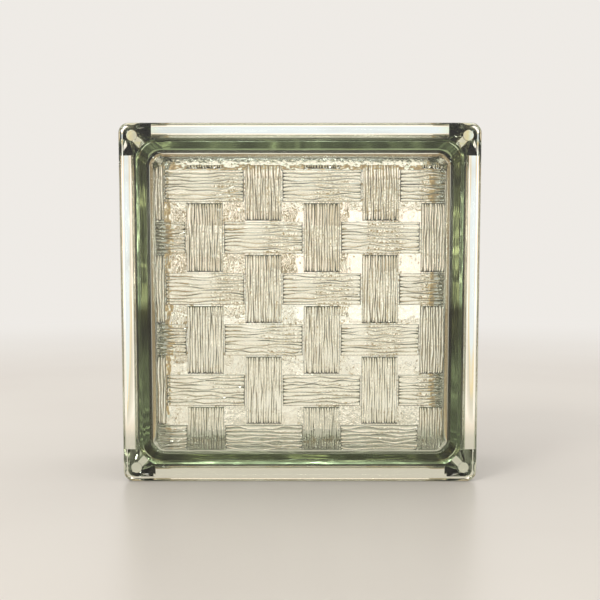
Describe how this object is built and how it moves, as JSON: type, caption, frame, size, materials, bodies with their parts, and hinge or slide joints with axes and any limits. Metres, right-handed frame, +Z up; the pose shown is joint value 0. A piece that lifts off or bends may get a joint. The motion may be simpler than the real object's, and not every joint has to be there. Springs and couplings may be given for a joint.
{
  "type": "glass block",
  "caption": "hollow square glass block of two fused half shells, with rims round both faces, a mortar key between them, a web behind each corner of a rim and a basket weave relief inside",
  "frame": {"origin": "centre of the bottom bed, midway between the two faces, where the seam plane meets the floor the block stands on", "axes": "+Z up, -Y the front face, +X to the right seen from the front"},
  "size_m": [0.19, 0.08, 0.19],
  "materials": {
    "glass": "clear soda-lime glass with a green tint, smooth outside, pressed relief inside"
  },
  "bodies": {
    "root": {"front_half": "glass", "back_half": "glass"}
  },
  "joints": []
}
